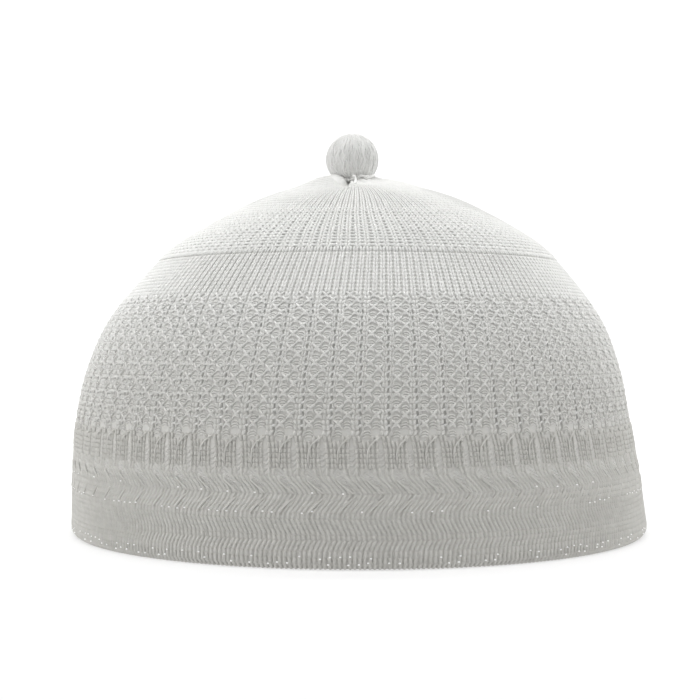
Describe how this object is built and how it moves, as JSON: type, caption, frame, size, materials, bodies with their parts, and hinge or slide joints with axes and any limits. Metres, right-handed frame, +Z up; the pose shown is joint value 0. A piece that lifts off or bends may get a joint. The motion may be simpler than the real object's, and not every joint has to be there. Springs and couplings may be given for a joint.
{
  "type": "kufi",
  "caption": "Round knit cap with a rolled hem, openwork side bands and a gathered crown, closed at the top under a small ball of wound yarn.",
  "frame": {"origin": "middle of the rim, on the surface that the cap rests on", "axes": "+Z up from the rim to the ball, -Y the side shown in the picture, +X to its right"},
  "size_m": [0.18, 0.18, 0.1258],
  "materials": {
    "white_knit": "matt white synthetic yarn, machine knitted",
    "white_yarn": "matt white synthetic yarn, wound into strands"
  },
  "bodies": {
    "root": {"knit_cap": "white_knit", "yarn_ball": "white_yarn", "tie_yarn": "white_yarn"}
  },
  "joints": []
}
